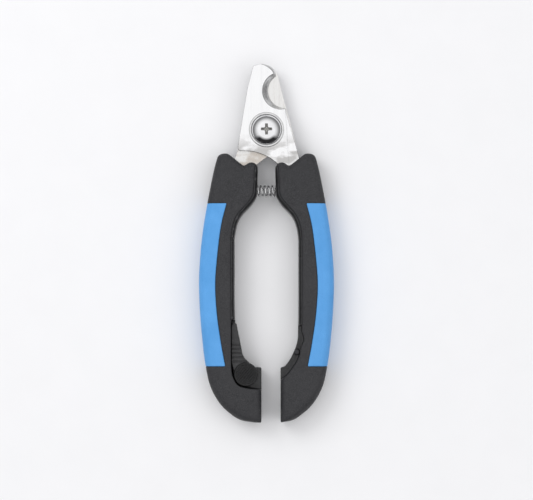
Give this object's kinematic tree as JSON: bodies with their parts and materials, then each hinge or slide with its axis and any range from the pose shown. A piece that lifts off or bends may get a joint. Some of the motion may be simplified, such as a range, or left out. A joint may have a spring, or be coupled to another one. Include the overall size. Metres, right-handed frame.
{
  "type": "scissor nail clipper",
  "caption": "Plier-style pet nail clipper with round-notch crossed blades on a screw pivot, sprung two-material handles and a swing-over lock lever.",
  "frame": {"origin": "centre of the outline, on the plane that the handles' backs rest on", "axes": "+Y towards the blade tips, +Z out of the front face (the face with the screw's head), +X to the right seen from the front"},
  "size_m": [0.0584, 0.1552, 0.0144],
  "materials": {
    "hard_black": "satin moulded plastic",
    "soft_black": "fine matte over-moulded rubber",
    "blue_grip": "matte blue rubber",
    "blade_steel": "satin ground, bright bevel",
    "blackened_steel": "blackened steel pin",
    "bushing_brass": "turned",
    "bright_chrome": "polished chrome",
    "zinc_steel": "zinc plated",
    "spring_steel": "drawn wire",
    "hard_black_small": "moulded plastic",
    "lock_black": "fine matte moulded plastic"
  },
  "bodies": {
    "left_half": {"left_handle_core": "hard_black", "left_soft_grip": "soft_black", "left_blue_grip": "blue_grip", "back_blade": "blade_steel", "pivot_bushing": "bushing_brass", "cup_washer": "bright_chrome", "pivot_screw": "bright_chrome", "back_washer": "zinc_steel", "pivot_nut": "zinc_steel", "left_tang_pins": "zinc_steel", "left_spring_seat": "hard_black_small", "opening_spring": "spring_steel", "lock_pivot_pin": "zinc_steel", "lock_wave_washer": "spring_steel"},
    "right_half": {"right_handle_core": "hard_black", "right_soft_grip": "soft_black", "right_blue_grip": "blue_grip", "front_blade": "blade_steel", "right_tang_pins": "zinc_steel", "right_spring_seat": "hard_black_small", "lock_catch_pin": "blackened_steel"},
    "lock": {"lock_lever": "lock_black"}
  },
  "joints": [
    {"name": "pivot", "type": "hinge", "parent": "left_half", "child": "right_half", "pos_m": [0, 0.0491, 0.007], "axis": [0, 0, 1], "range_deg": [-3.6, 25], "stiffness_Nm_per_rad": 0.35, "springref_deg": 25, "deforming": ["opening_spring"]},
    {"name": "lock_swing", "type": "hinge", "parent": "left_half", "child": "lock", "pos_m": [-0.00893, -0.05669, 0.0085], "axis": [0, 0, 1], "range_deg": [-73, 0]}
  ]
}
